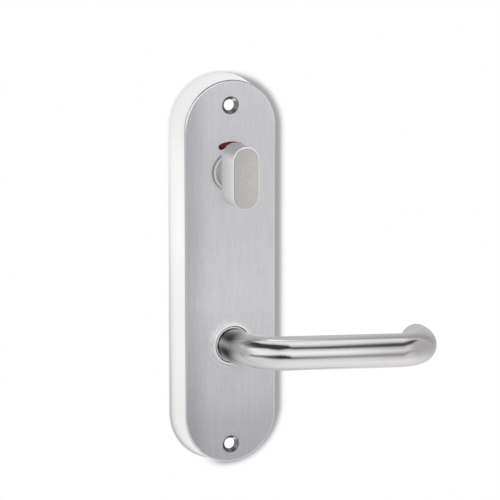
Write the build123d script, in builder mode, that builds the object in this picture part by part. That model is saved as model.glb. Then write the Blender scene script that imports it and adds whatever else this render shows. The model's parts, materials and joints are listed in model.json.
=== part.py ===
"""Privacy lever handle: round-ended long plate, return-to-door tube lever, privacy turn and indicator.

Millimetres, +Z up. The origin is on the lever's axis at the door face. The plate stands out from the
door along -Y, the grip points to +X and the spindles run into the door along +Y.
"""

import os
from math import asin, atan, cos, degrees, radians, sin, sqrt

from build123d import *

# Plate
plate_width = 54.0
plate_depth = 18.0
plate_flare = 1.8
plate_face = 2.0
plate_wall = 1.5
plate_edge_round = 1.0
spindle_to_plate_bottom = 68.0
spindle_to_snib = 97.0
snib_to_plate_top = 51.0

# Door fixing holes
fixing_hole = 6.2
fixing_countersink = 10.0
fixing_seat_land = 0.8
fixing_seat_radius = 7.0
top_hole_from_end = 14.0
bottom_hole_from_end = 10.0

# Chassis inside the plate
chassis_thickness = 3.0
chassis_side_gap = 2.0
chassis_corner = 8.0
top_hole_to_chassis = 13.0
bottom_hole_to_chassis = 8.0
boss_radius = 3.2
boss_from_side = 5.0
boss_from_bottom = 14.0
boss_below_snib = 33.0
chassis_screw = 3.0
chassis_screw_head = 5.6
chassis_screw_length = 9.0
chassis_screw_hole = 10.0
driver_slot = 0.7

# Lever
lever_tube_diameter = 19.0
lever_tube_wall = 1.5
lever_length = 112.0
lever_projection = 28.4
lever_root_bend = 20.0
lever_return_bend = 22.5
lever_return_gap = 4.4
lever_rest_droop = 4.1
lever_turn = 45.0
lever_cap_thickness = 1.5
lever_cap_round = 0.5

# Lever bearing in the plate
sleeve_wall = 0.4
sleeve_below_lip = 0.2
bush_wall = 0.5
bush_flange = 1.6
bush_flange_width = 3.0
bush_below_lip = 1.6
lip_wall = 1.1
lip_height = 3.5
lip_round = 0.5
collar_flange_width = 2.4
collar_flange = 0.5
thrust_washer_thickness = 0.8
circlip_thickness = 1.1
circlip_groove_depth = 0.9
circlip_width = 3.2
circlip_opening = 60.0
neck_land = 0.9

# Lever hub, cam plate and return spring
hub_radius = 8.5
hub_flat = 7.4
hub_back = 1.2
cam_thickness = 1.2
cam_radius = 13.0
cam_arm_reach = 20.5
cam_arm_width = 6.0
stop_pin = 3.0
stop_pin_circle = 18.0
stop_pin_proud = 0.8
cup_wall = 1.4
cup_floor = 0.8
cup_radius = 15.0
cup_ear_radius = 3.5
cup_ear_circle = 18.0
rivet = 2.5
rivet_head = 4.6
rivet_head_height = 1.0
rivet_recess = 0.2
return_wire = 1.6
return_spring_radius = 11.6
return_spring_pitch = 1.7
return_spring_to_cam = 0.575
spring_leg = 4.0

# Lever spindle
spindle_side = 8.0
spindle_reach = 55.0
spindle_socket_floor = 1.6
spindle_pin = 3.0
spindle_pin_out = 7.0
spindle_tip_chamfer = 0.6

# Privacy turn
knob_height = 35.0
knob_width = 15.8
knob_front = 22.5
knob_back = 6.0
knob_front_round = 0.9
knob_back_round = 0.6
knob_neck = 17.8
base_ring_width = 1.12
base_ring_height = 1.2
base_ring_bevel = 0.25
snib_bush_wall = 0.5
snib_bush_flange = 0.8
snib_bush_below_ring = 0.6
friction_washer_thickness = 0.7
washer_rim = 2.6
tail_side = 5.0
tail_reach = 45.0
tail_in_knob = 8.0

# Indicator
window_radius = 15.2
window_width = 3.4
window_half_angle = 21.0
indicator_radius = 18.5
indicator_thickness = 1.6
label_thickness = 0.2
label_margin = 0.4
label_inner_radius = 13.0
label_half_angle = 44.0
indicator_screw = 2.5
indicator_screw_head = 4.4
indicator_screw_head_height = 1.2
indicator_screw_length = 5.0
indicator_screw_offset = 6.0

# Detent under the indicator
detent_circle = 15.0
detent_ball_radius = 1.95
detent_tower_radius = 3.6
detent_wire = 0.5
detent_turns = 6.0
dimple_depth = 0.4

# Clearances, each on the radius or on one side
running = 0.06
press = 0.02
apart = 0.3
screw_clearance = 0.05
hole_clearance = 0.1

# Places that follow from the sizes above
snib_z = spindle_to_snib
plate_top = spindle_to_snib + snib_to_plate_top
plate_bottom = -spindle_to_plate_bottom
plate_height = plate_top - plate_bottom
plate_centre = (plate_top + plate_bottom) / 2
plate_draft = degrees(atan(plate_flare / plate_depth))
face_inside = plate_depth - plate_face
top_hole_z = plate_top - top_hole_from_end
bottom_hole_z = plate_bottom + bottom_hole_from_end
chassis_half_width = plate_width / 2 + plate_flare - plate_wall - chassis_side_gap
chassis_top = top_hole_z - top_hole_to_chassis
chassis_bottom = bottom_hole_z + bottom_hole_to_chassis
boss_x = chassis_half_width - boss_from_side
boss_rows = (chassis_bottom + boss_from_bottom, snib_z - boss_below_snib)
boss_places = [(x, z) for x in (-boss_x, boss_x) for z in boss_rows]

tube_radius = lever_tube_diameter / 2
tube_bore = tube_radius - lever_tube_wall
sleeve_radius = tube_radius + press + sleeve_wall
bush_bore = sleeve_radius + running
bush_radius = bush_bore + bush_wall
collar_bore = bush_radius + press
lip_radius = collar_bore + lip_wall
lip_top = plate_depth + lip_height
sleeve_top = lip_top - sleeve_below_lip
bush_back = face_inside - bush_flange
washer_back = bush_back - thrust_washer_thickness
circlip_front = washer_back - apart
circlip_back = circlip_front - circlip_thickness
neck_front = circlip_front + neck_land
neck_back = circlip_back - neck_land
grip_out = plate_depth + lever_projection
return_end_out = plate_depth + lever_return_gap
spigot_end = grip_out - lever_root_bend

cam_back = neck_back - cam_thickness
cup_rim = cam_back - apart
rest_arm_angle = 180 + lever_turn / 2
stop_offset = degrees(asin((cam_arm_width / 2 + stop_pin / 2 + apart) / stop_pin_circle))
stop_angles = (rest_arm_angle + stop_offset, rest_arm_angle - lever_turn - stop_offset)
stop_places = [
    (stop_pin_circle * cos(radians(a)), stop_pin_circle * sin(radians(a))) for a in stop_angles
]
spring_start = chassis_thickness + cup_floor + return_wire / 2 + apart
spring_rise = cam_back - return_spring_to_cam - return_wire / 2 - spring_start
return_spring_turns = spring_rise / return_spring_pitch
socket_end = spigot_end - spindle_socket_floor
spindle_end = socket_end - hole_clearance

neck_radius = knob_neck / 2
snib_bush_bore = neck_radius + running
snib_bush_radius = snib_bush_bore + snib_bush_wall
base_ring_bore = snib_bush_radius + press
base_ring_diameter = 2 * (base_ring_bore + base_ring_width)
base_ring_front = plate_depth + base_ring_height
snib_bush_back = face_inside - snib_bush_flange
snib_bush_front = base_ring_front - snib_bush_below_ring
washer_radius = neck_radius + washer_rim
indicator_front = snib_bush_back - friction_washer_thickness - apart
indicator_back = indicator_front - indicator_thickness
knob_back_out = plate_depth + knob_back
knob_front_out = plate_depth + knob_front
detent_z = snib_z - detent_circle
ball_centre = indicator_back - hole_clearance - detent_ball_radius
tower_top = ball_centre + detent_ball_radius / 2
detent_spring_radius = detent_ball_radius - detent_wire / 2 - hole_clearance
detent_spring_back = chassis_thickness + detent_wire / 2 + hole_clearance
detent_reach = detent_ball_radius + detent_wire / 2 + screw_clearance
detent_spring_front = ball_centre - sqrt(detent_reach**2 - detent_spring_radius**2)


def level(out, x=0.0, z=0.0):
    """Plane parallel to the door and facing out of it, at a distance in front of the door face."""
    return Plane(origin=(x, -out, z), x_dir=(1, 0, 0), z_dir=(0, -1, 0))


def round_step(near, far, radius, x=0.0, z=0.0, mode=Mode.ADD):
    """Round length square to the door, between two distances in front of the door face."""
    with Locations(level(near, x, z)):
        Cylinder(radius, far - near, align=(Align.CENTER, Align.CENTER, Align.MIN), mode=mode)


def square_step(near, far, side, z=0.0, mode=Mode.ADD):
    """Square length, square to the door, between two distances in front of the door face."""
    with Locations(level(near, 0, z)):
        Box(side, side, far - near, align=(Align.CENTER, Align.CENTER, Align.MIN), mode=mode)


def countersunk(near, far, radius, top_radius, x=0.0, z=0.0, mode=Mode.ADD):
    """Cone that widens from one distance in front of the door face to another."""
    with Locations(level(near, x, z)):
        Cone(radius, top_radius, far - near, align=(Align.CENTER, Align.CENTER, Align.MIN), mode=mode)


def ring_step(near, far, outer, inner, x=0.0, z=0.0, mode=Mode.ADD):
    """Ring square to the door, between two distances in front of the door face."""
    with BuildSketch(level(near, x, z)) as ring:
        Circle(outer)
        Circle(inner, mode=Mode.SUBTRACT)
    extrude(ring.sketch, amount=far - near, mode=mode)


def hub_outline(clearance):
    """Round hub with two flats, grown by a clearance, for the sketch that is open."""
    Circle(hub_radius + clearance)
    Rectangle(2 * (hub_flat + clearance), 2 * (hub_radius + clearance), mode=Mode.INTERSECT)


# Plate: pressed cover, chassis and what holds them together

window_arc = CenterArc((0, 0), window_radius, 90 - window_half_angle, 2 * window_half_angle)

with BuildPart() as plate_cover:
    with BuildSketch(level(0, z=plate_centre)):
        SlotOverall(plate_height + 2 * plate_flare, plate_width + 2 * plate_flare, rotation=90)
    extrude(amount=plate_depth, taper=plate_draft)
    fillet(plate_cover.faces().sort_by(Axis.Y)[0].edges(), radius=plate_edge_round)
    with BuildSketch(level(0, z=plate_centre)):
        SlotOverall(
            plate_height + 2 * (plate_flare - plate_wall),
            plate_width + 2 * (plate_flare - plate_wall),
            rotation=90,
        )
    extrude(amount=face_inside, taper=plate_draft, mode=Mode.SUBTRACT)
    countersink_depth = (fixing_countersink - fixing_hole) / 2
    fixing_seat_back = plate_depth - countersink_depth - fixing_seat_land
    for hole_z in (top_hole_z, bottom_hole_z):
        round_step(fixing_seat_back, face_inside, fixing_seat_radius, z=hole_z)
    for boss in boss_places:
        round_step(chassis_thickness, face_inside, boss_radius, *boss)
        round_step(
            chassis_thickness,
            chassis_screw_hole,
            chassis_screw / 2 + screw_clearance,
            *boss,
            mode=Mode.SUBTRACT,
        )
    for hole_z in (top_hole_z, bottom_hole_z):
        round_step(0, plate_depth, fixing_hole / 2, z=hole_z, mode=Mode.SUBTRACT)
        countersunk(
            plate_depth - countersink_depth,
            plate_depth,
            fixing_hole / 2,
            fixing_countersink / 2,
            z=hole_z,
            mode=Mode.SUBTRACT,
        )
    round_step(0, plate_depth, lip_radius + screw_clearance, mode=Mode.SUBTRACT)
    round_step(0, plate_depth, base_ring_bore, z=snib_z, mode=Mode.SUBTRACT)
    with BuildSketch(level(face_inside, z=snib_z)):
        SlotArc(window_arc, height=window_width)
    extrude(amount=plate_face, mode=Mode.SUBTRACT)

with BuildPart() as chassis_plate:
    with BuildSketch(level(0, z=(chassis_top + chassis_bottom) / 2)):
        RectangleRounded(2 * chassis_half_width, chassis_top - chassis_bottom, chassis_corner)
    extrude(amount=chassis_thickness)
    round_step(chassis_thickness, tower_top, detent_tower_radius, z=detent_z)
    round_step(0, tower_top, hub_radius + running, mode=Mode.SUBTRACT)
    round_step(
        0, chassis_thickness, tail_side * sqrt(2) / 2 + apart, z=snib_z, mode=Mode.SUBTRACT
    )
    round_step(
        chassis_thickness, tower_top, detent_ball_radius + hole_clearance, z=detent_z, mode=Mode.SUBTRACT
    )
    screw_head_depth = (chassis_screw_head - chassis_screw) / 2
    for boss in boss_places:
        round_step(
            0, chassis_thickness, chassis_screw / 2 + screw_clearance, *boss, mode=Mode.SUBTRACT
        )
        countersunk(
            0,
            screw_head_depth,
            chassis_screw_head / 2 + screw_clearance,
            chassis_screw / 2 + screw_clearance,
            *boss,
            mode=Mode.SUBTRACT,
        )
    for pin in stop_places:
        round_step(0, chassis_thickness, stop_pin / 2 + press, *pin, mode=Mode.SUBTRACT)
    for side in (-1, 1):
        round_step(
            0, chassis_thickness, rivet / 2 + press, z=side * cup_ear_circle, mode=Mode.SUBTRACT
        )

with BuildPart() as chassis_screws:
    for boss in boss_places:
        countersunk(0, screw_head_depth, chassis_screw_head / 2, chassis_screw / 2, *boss)
        round_step(screw_head_depth, chassis_screw_length, chassis_screw / 2, *boss)
        with Locations(level(0, *boss)):
            Box(
                chassis_screw_head,
                driver_slot,
                screw_head_depth,
                align=(Align.CENTER, Align.CENTER, Align.CENTER),
                mode=Mode.SUBTRACT,
            )

# Lever bearing: collar, bush, thrust washer and circlip

with BuildPart() as collar_ring:
    round_step(face_inside, lip_top, lip_radius)
    fillet(collar_ring.faces().sort_by(Axis.Y)[0].edges(), radius=lip_round)
    round_step(plate_depth, plate_depth + collar_flange, lip_radius + collar_flange_width)
    round_step(face_inside, lip_top, collar_bore, mode=Mode.SUBTRACT)

with BuildPart() as lever_bush:
    round_step(bush_back, face_inside, bush_radius + bush_flange_width)
    round_step(face_inside, lip_top - bush_below_lip, bush_radius)
    round_step(bush_back, lip_top, bush_bore, mode=Mode.SUBTRACT)

with BuildPart() as thrust_washer:
    round_step(washer_back, bush_back, bush_radius + bush_flange_width)
    round_step(washer_back, bush_back, sleeve_radius + hole_clearance, mode=Mode.SUBTRACT)

with BuildPart() as lever_circlip:
    circlip_bore = sleeve_radius - circlip_groove_depth + press
    round_step(circlip_back, circlip_front, circlip_bore + circlip_width)
    round_step(circlip_back, circlip_front, circlip_bore, mode=Mode.SUBTRACT)
    with BuildSketch(level(circlip_back)):
        with BuildLine():
            reach = 2 * (circlip_bore + circlip_width)
            half_opening = radians(circlip_opening / 2)
            Polyline(
                (0, 0),
                (-reach * sin(half_opening), -reach * cos(half_opening)),
                (reach * sin(half_opening), -reach * cos(half_opening)),
                close=True,
            )
        make_face()
    extrude(amount=circlip_thickness, mode=Mode.SUBTRACT)

# Lever: tube, end cap, sleeve and neck

grip_direction = Vector(cos(radians(lever_rest_droop)), 0, -sin(radians(lever_rest_droop)))
out_direction = Vector(0, -1, 0)
lever_plane = Plane(origin=(0, 0, 0), x_dir=grip_direction, z_dir=grip_direction.cross(out_direction))

with BuildPart() as lever_tube:
    with BuildLine(lever_plane):
        FilletPolyline(
            (0, neck_front),
            (0, grip_out),
            (lever_length, grip_out),
            (lever_length, return_end_out),
            radius=[lever_root_bend, lever_return_bend],
        )
    with BuildSketch(level(neck_front)):
        Circle(tube_radius)
        Circle(tube_bore, mode=Mode.SUBTRACT)
    sweep()

with BuildPart() as lever_end_cap:
    cap_centre = grip_direction * lever_length
    round_step(
        return_end_out,
        return_end_out + lever_cap_thickness,
        tube_bore - press,
        cap_centre.X,
        cap_centre.Z,
    )
    fillet(lever_end_cap.faces().sort_by(Axis.Y)[-1].edges(), radius=lever_cap_round)

with BuildPart() as lever_sleeve:
    round_step(neck_front, sleeve_top, sleeve_radius)
    fillet(lever_sleeve.faces().sort_by(Axis.Y)[0].edges(), radius=sleeve_wall / 3)
    round_step(neck_front, sleeve_top, tube_radius + press, mode=Mode.SUBTRACT)

with BuildPart() as lever_neck:
    with BuildSketch(level(hub_back)):
        hub_outline(0)
    extrude(amount=neck_back - hub_back)
    round_step(neck_back, neck_front, sleeve_radius)
    round_step(neck_front, spigot_end, tube_bore - press)
    ring_step(
        circlip_back - screw_clearance,
        circlip_front + screw_clearance,
        sleeve_radius,
        sleeve_radius - circlip_groove_depth,
        mode=Mode.SUBTRACT,
    )
    square_step(hub_back, socket_end, spindle_side + 2 * screw_clearance, mode=Mode.SUBTRACT)
    with Locations((0, -spindle_pin_out, 0)):
        Cylinder(spindle_pin / 2 + press, 2 * hub_radius, mode=Mode.SUBTRACT)

# Lever spindle and what turns with the hub

with BuildPart() as spindle:
    square_step(-spindle_reach, spindle_end, spindle_side)
    chamfer(spindle.faces().sort_by(Axis.Y)[-1].edges(), length=spindle_tip_chamfer)
    with Locations((0, -spindle_pin_out, 0)):
        Cylinder(spindle_pin / 2 + press, spindle_side, mode=Mode.SUBTRACT)

with BuildPart() as spindle_roll_pin:
    with Locations((0, -spindle_pin_out, 0)):
        Cylinder(spindle_pin / 2, 2 * (hub_radius - apart))
        Cylinder(spindle_pin / 4, 2 * hub_radius, mode=Mode.SUBTRACT)

with BuildPart() as cam_plate:
    with BuildSketch(level(cam_back)):
        Circle(cam_radius)
        Rectangle(
            cam_arm_reach,
            cam_arm_width,
            rotation=rest_arm_angle,
            align=(Align.MIN, Align.CENTER),
        )
    extrude(amount=cam_thickness)
    with BuildSketch(level(cam_back)):
        hub_outline(press)
    extrude(amount=cam_thickness, mode=Mode.SUBTRACT)

# Return spring in its cup, and the stops

with BuildPart() as spring_cup:
    with BuildSketch(level(chassis_thickness)):
        Circle(cup_radius)
        SlotOverall(2 * (cup_ear_circle + cup_ear_radius), 2 * cup_ear_radius, rotation=90)
    extrude(amount=cup_floor)
    ring_step(chassis_thickness, cup_rim, cup_radius, cup_radius - cup_wall)
    round_step(chassis_thickness, cup_rim, hub_radius + apart, mode=Mode.SUBTRACT)
    for side in (-1, 1):
        round_step(
            chassis_thickness,
            cup_rim,
            rivet / 2 + press,
            z=side * cup_ear_circle,
            mode=Mode.SUBTRACT,
        )

with BuildPart() as cup_rivets:
    for side in (-1, 1):
        head_back = chassis_thickness + cup_floor
        round_step(rivet_recess, head_back, rivet / 2, z=side * cup_ear_circle)
        round_step(head_back, head_back + rivet_head_height, rivet_head / 2, z=side * cup_ear_circle)
    fillet(
        cup_rivets.faces().filter_by(Axis.Y).sort_by(Axis.Y)[:2].edges(), radius=rivet_head_height / 2
    )

with BuildPart() as stop_pins:
    for pin in stop_places:
        round_step(rivet_recess, neck_back + stop_pin_proud, stop_pin / 2, *pin)

with BuildPart() as return_spring:
    with BuildLine() as return_line:
        coil = Helix(
            return_spring_pitch,
            return_spring_turns * return_spring_pitch,
            return_spring_radius,
            center=(0, -spring_start, 0),
            direction=(0, -1, 0),
        )
        Line(coil @ 0 - (coil % 0) * spring_leg, coil @ 0)
        Line(coil @ 1, coil @ 1 + (coil % 1) * spring_leg)
    return_wire_line = return_line.wires()[0]
    with BuildSketch(Plane(origin=return_wire_line @ 0, z_dir=return_wire_line % 0)):
        Circle(return_wire / 2)
    sweep(path=return_wire_line, is_frenet=True)

# Privacy turn

with BuildPart() as snib_knob:
    with BuildSketch(level(knob_back_out, z=snib_z)):
        SlotOverall(knob_height, knob_width, rotation=90)
    extrude(amount=knob_front_out - knob_back_out)
    fillet(snib_knob.faces().sort_by(Axis.Y)[0].edges(), radius=knob_front_round)
    fillet(snib_knob.faces().sort_by(Axis.Y)[-1].edges(), radius=knob_back_round)
    round_step(indicator_front, knob_back_out, neck_radius, z=snib_z)
    square_step(
        indicator_front,
        indicator_front + tail_in_knob,
        tail_side + 2 * screw_clearance,
        z=snib_z,
        mode=Mode.SUBTRACT,
    )
    for x in (-indicator_screw_offset, indicator_screw_offset):
        round_step(
            indicator_front,
            indicator_back + indicator_screw_length,
            indicator_screw / 2 + screw_clearance,
            x,
            snib_z,
            mode=Mode.SUBTRACT,
        )

with BuildPart() as snib_base_ring:
    round_step(plate_depth, base_ring_front, base_ring_diameter / 2, z=snib_z)
    chamfer(snib_base_ring.faces().sort_by(Axis.Y)[0].edges(), length=base_ring_bevel)
    round_step(
        plate_depth,
        base_ring_front,
        neck_radius + hole_clearance,
        z=snib_z,
        mode=Mode.SUBTRACT,
    )
    round_step(
        plate_depth,
        snib_bush_front + hole_clearance,
        base_ring_bore,
        z=snib_z,
        mode=Mode.SUBTRACT,
    )

with BuildPart() as snib_bush:
    ring_step(snib_bush_back, face_inside, washer_radius, snib_bush_bore, z=snib_z)
    ring_step(face_inside, snib_bush_front, snib_bush_radius, snib_bush_bore, z=snib_z)

with BuildPart() as friction_washer:
    ring_step(
        snib_bush_back - friction_washer_thickness,
        snib_bush_back,
        washer_radius,
        neck_radius + hole_clearance,
        z=snib_z,
    )

with BuildPart() as tail_bar:
    square_step(-tail_reach, indicator_front + tail_in_knob - hole_clearance, tail_side, z=snib_z)
    chamfer(tail_bar.faces().sort_by(Axis.Y)[-1].edges(), length=spindle_tip_chamfer)

# Indicator

with BuildPart() as indicator_disc:
    round_step(indicator_back, indicator_front, indicator_radius, z=snib_z)
    square_step(
        indicator_back, indicator_front, tail_side + 2 * screw_clearance, z=snib_z, mode=Mode.SUBTRACT
    )
    for x in (-indicator_screw_offset, indicator_screw_offset):
        round_step(
            indicator_back,
            indicator_front,
            indicator_screw / 2 + screw_clearance,
            x,
            snib_z,
            mode=Mode.SUBTRACT,
        )
    for x, z in ((0, detent_z), (detent_circle, snib_z)):
        with Locations(level(indicator_back + dimple_depth - detent_ball_radius, x, z)):
            Sphere(detent_ball_radius, mode=Mode.SUBTRACT)


def indicator_label(middle_angle):
    """Coloured sector on the front of the indicator disc, about an angle from the +X direction."""
    start = middle_angle - label_half_angle
    with BuildPart() as label:
        with BuildSketch(level(indicator_front, z=snib_z)):
            with BuildLine():
                inner = CenterArc((0, 0), label_inner_radius, start, 2 * label_half_angle)
                outer = CenterArc((0, 0), indicator_radius - label_margin, start, 2 * label_half_angle)
                Line(inner @ 0, outer @ 0)
                Line(inner @ 1, outer @ 1)
            make_face()
        extrude(amount=label_thickness)
    return label


label_red = indicator_label(90)
label_green = indicator_label(180)

with BuildPart() as indicator_screws:
    for x in (-indicator_screw_offset, indicator_screw_offset):
        head_front = indicator_back
        head_back = head_front - indicator_screw_head_height
        round_step(head_back, head_front, indicator_screw_head / 2, x, snib_z)
        round_step(
            head_front,
            head_front + indicator_screw_length - hole_clearance,
            indicator_screw / 2,
            x,
            snib_z,
        )
        with Locations(level(head_back, x, snib_z)):
            Box(
                indicator_screw_head,
                driver_slot,
                indicator_screw_head_height,
                align=(Align.CENTER, Align.CENTER, Align.CENTER),
                mode=Mode.SUBTRACT,
            )

# Detent

with BuildPart() as detent_ball:
    with Locations(level(ball_centre, z=detent_z)):
        Sphere(detent_ball_radius)

with BuildPart() as detent_spring:
    with BuildLine() as detent_line:
        detent_rise = detent_spring_front - detent_spring_back
        Helix(
            detent_rise / detent_turns,
            detent_rise,
            detent_spring_radius,
            center=(0, -detent_spring_back, detent_z),
            direction=(0, -1, 0),
        )
    detent_wire_line = detent_line.wires()[0]
    with BuildSketch(Plane(origin=detent_wire_line @ 0, z_dir=detent_wire_line % 0)):
        Circle(detent_wire / 2)
    sweep(path=detent_wire_line, is_frenet=True)

pieces = {
    "plate_cover": plate_cover,
    "chassis_plate": chassis_plate,
    "chassis_screws": chassis_screws,
    "collar_ring": collar_ring,
    "lever_bush": lever_bush,
    "thrust_washer": thrust_washer,
    "lever_circlip": lever_circlip,
    "lever_tube": lever_tube,
    "lever_end_cap": lever_end_cap,
    "lever_sleeve": lever_sleeve,
    "lever_neck": lever_neck,
    "spindle": spindle,
    "spindle_roll_pin": spindle_roll_pin,
    "cam_plate": cam_plate,
    "spring_cup": spring_cup,
    "cup_rivets": cup_rivets,
    "stop_pins": stop_pins,
    "return_spring": return_spring,
    "snib_knob": snib_knob,
    "snib_base_ring": snib_base_ring,
    "snib_bush": snib_bush,
    "friction_washer": friction_washer,
    "tail_bar": tail_bar,
    "indicator_disc": indicator_disc,
    "label_red": label_red,
    "label_green": label_green,
    "indicator_screws": indicator_screws,
    "detent_ball": detent_ball,
    "detent_spring": detent_spring,
}

os.makedirs("parts", exist_ok=True)
for name, piece in pieces.items():
    piece.part.label = name
    export_step(piece.part, f"parts/{name}.step")
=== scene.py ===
"""Looks of the privacy lever handle: camera, studio, materials and the modelled lever tube. Metres, +Z up."""

import json
from math import atan2, cos, hypot, pi, radians, sin

import bmesh
import bpy
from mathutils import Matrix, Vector


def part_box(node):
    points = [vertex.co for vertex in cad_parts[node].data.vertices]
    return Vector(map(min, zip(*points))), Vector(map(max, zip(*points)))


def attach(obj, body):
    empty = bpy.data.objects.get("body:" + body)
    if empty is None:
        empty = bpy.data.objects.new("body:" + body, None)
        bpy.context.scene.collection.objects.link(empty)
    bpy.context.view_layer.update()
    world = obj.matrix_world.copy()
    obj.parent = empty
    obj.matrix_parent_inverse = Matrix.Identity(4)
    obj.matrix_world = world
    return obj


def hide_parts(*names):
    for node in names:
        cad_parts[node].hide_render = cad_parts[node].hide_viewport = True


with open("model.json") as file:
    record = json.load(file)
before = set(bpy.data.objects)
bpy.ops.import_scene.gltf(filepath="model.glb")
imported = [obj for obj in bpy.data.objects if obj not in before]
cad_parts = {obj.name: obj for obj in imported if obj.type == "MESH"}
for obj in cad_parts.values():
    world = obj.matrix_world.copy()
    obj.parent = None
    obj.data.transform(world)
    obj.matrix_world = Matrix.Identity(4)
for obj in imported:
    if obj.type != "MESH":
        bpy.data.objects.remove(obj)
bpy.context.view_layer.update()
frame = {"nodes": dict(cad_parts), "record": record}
nodes = frame["nodes"]
scene = bpy.context.scene

MM = 0.001


def box_mm(node):
    """Lowest and highest corners of a node, in millimetres."""
    return [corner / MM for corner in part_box(node)]


# Sizes and places that the looks follow, in millimetres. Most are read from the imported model, and those
# written as numbers are the ones that its boxes and mounts don't give.
plate_low, plate_high = box_mm("plate_cover")
PLATE_BACK_HALF_WIDTH = plate_high.x
PLATE_BACK_HEIGHT = plate_high.z - plate_low.z
PLATE_CENTRE_Z = (plate_high.z + plate_low.z) / 2
PLATE_DEPTH = -plate_low.y
tube_low, tube_high = box_mm("lever_tube")
cap_low, cap_high = box_mm("lever_end_cap")
grip_end = (cap_low + cap_high) / 2
TUBE_CAD_RADIUS = -tube_low.x
# The modelled tube's skin lies this far inside the CAD tube's
TUBE_INSET = 0.01
TUBE_RADIUS = TUBE_CAD_RADIUS - TUBE_INSET
TUBE_WALL = 1.5
TUBE_BORE = TUBE_CAD_RADIUS - TUBE_WALL
TUBE_ROOT = -tube_high.y
TUBE_END = -cap_high.y
TUBE_LIP = 0.3
GRIP_OUT = -tube_low.y - TUBE_CAD_RADIUS
LEVER_LENGTH = hypot(grip_end.x, grip_end.z)
ROOT_BEND = 20.0
RETURN_BEND = 22.5
REST_DROOP = atan2(-grip_end.z, grip_end.x)
holes = next(mount for mount in frame["record"]["mounts"] if mount["name"] == "fixing_holes")
HOLE_MIDDLE_Z = holes["pos_m"][2] / MM
HOLE_SPACING = holes["dims"]["spacing_y_mm"]
COUNTERSINK_RADIUS = 5.0
knob_low, knob_high = box_mm("snib_knob")
ring_low, ring_high = box_mm("snib_base_ring")
TURN_Z = (knob_low.z + knob_high.z) / 2
NECK_LENGTH = 6.0
NECK_FRONT = PLATE_DEPTH + NECK_LENGTH
LIP_TOP = -box_mm("collar_ring")[0].y
# Radii just outside the base ring, the collar's lip and the lever's sleeve
BASE_RING_RADIUS = ring_high.x + 0.1
COLLAR_LIP_RADIUS = 11.7
SLEEVE_RADIUS = 10.0

# Camera: its angles, its distances in metres, and the photograph's frame in pixels
CAMERA_AZIMUTH = radians(-23.1)
CAMERA_ELEVATION = radians(12.55)
CAMERA_DISTANCE = 1.86
FOCAL_PIXELS = 3361.0
FRAME_PIXELS = 500.0
SENSOR_MM = 36.0
AIM_RIGHT_PIXELS = 19.4
AIM_UP_PIXELS = 22.9
CLIP_START = 0.05


# Nodes

def add(tree, kind, inputs=None, **settings):
    """One node with its settings, each input given as a value or as the socket that feeds it."""
    node = tree.nodes.new(kind)
    for name, value in settings.items():
        setattr(node, name, value)
    for name, value in (inputs or {}).items():
        if isinstance(value, bpy.types.NodeSocket):
            tree.links.new(value, node.inputs[name])
        else:
            node.inputs[name].default_value = value
    return node


def calc(tree, operation, *values):
    """Result of a Math node."""
    return add(tree, "ShaderNodeMath", dict(enumerate(values)), operation=operation).outputs[0]


def times(tree, first, second):
    """Product of two values."""
    return calc(tree, "MULTIPLY", first, second)


def diagonal(tree, across, along):
    """Straight distance made by two lengths at right angles."""
    squares = calc(tree, "ADD", calc(tree, "POWER", across, 2.0), calc(tree, "POWER", along, 2.0))
    return calc(tree, "SQRT", squares)


def span(tree, value, low, high, to_low=0.0, to_high=1.0, smooth=False):
    """A value mapped from one range to another and held at its ends."""
    inputs = {"Value": value, "From Min": low, "From Max": high, "To Min": to_low, "To Max": to_high}
    kind = "SMOOTHSTEP" if smooth else "LINEAR"
    return add(tree, "ShaderNodeMapRange", inputs, interpolation_type=kind).outputs[0]


def span_mm(tree, value, places, to_low=0.0, to_high=1.0, smooth=False):
    """A value in metres mapped from a range between two places in millimetres."""
    low, high = places
    return span(tree, value, low * MM, high * MM, to_low, to_high, smooth)


def ramp(tree, value, stops):
    """Grey level of a value between stops, each a place from 0 to 1 and a level."""
    node = add(tree, "ShaderNodeValToRGB", {"Fac": value})
    elements = node.color_ramp.elements
    while len(elements) < len(stops):
        elements.new(0.5)
    for element, (place, level) in zip(elements, stops):
        element.position = place
        element.color = (level, level, level, 1)
    return node.outputs["Color"]


def blend_colours(tree, factor, first, second):
    """Colour between two colours."""
    node = add(tree, "ShaderNodeMix", data_type="RGBA")
    for socket, value in zip((node.inputs[0], node.inputs[6], node.inputs[7]), (factor, first, second)):
        if isinstance(value, bpy.types.NodeSocket):
            tree.links.new(value, socket)
        else:
            socket.default_value = value
    return node.outputs[2]


def axes(tree, vector):
    """X, Y and Z of a vector, by name."""
    return add(tree, "ShaderNodeSeparateXYZ", {0: vector}).outputs


def object_place(tree):
    """Place on the object, in metres."""
    return add(tree, "ShaderNodeTexCoord").outputs["Object"]


def direction_out(tree):
    """Direction of a place from the origin."""
    return add(tree, "ShaderNodeVectorMath", {0: object_place(tree)}, operation="NORMALIZE").outputs[0]


def facing(tree):
    """The way the surface faces, by axis, and how squarely it faces out or in, from 0 to 1."""
    normal = axes(tree, add(tree, "ShaderNodeNewGeometry").outputs["Normal"])
    return normal, calc(tree, "ABSOLUTE", normal["Y"])


def near_axis(tree, place, middle_z, radius):
    """1 within a radius of a line square to the door at a height on the plate's middle, in millimetres."""
    rise = calc(tree, "SUBTRACT", place["Z"], middle_z * MM)
    return calc(tree, "LESS_THAN", diagonal(tree, place["X"], rise), radius * MM)


def noise(tree, vector, scale, stretch=(1, 1, 1), detail=2.0, roughness=0.5):
    """Noise level at a place, finer along the axes with a larger stretch."""
    spread = add(tree, "ShaderNodeMapping", {"Vector": vector, "Scale": stretch}).outputs[0]
    inputs = {"Vector": spread, "Scale": scale, "Detail": detail, "Roughness": roughness}
    return add(tree, "ShaderNodeTexNoise", inputs).outputs["Fac"]


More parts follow.
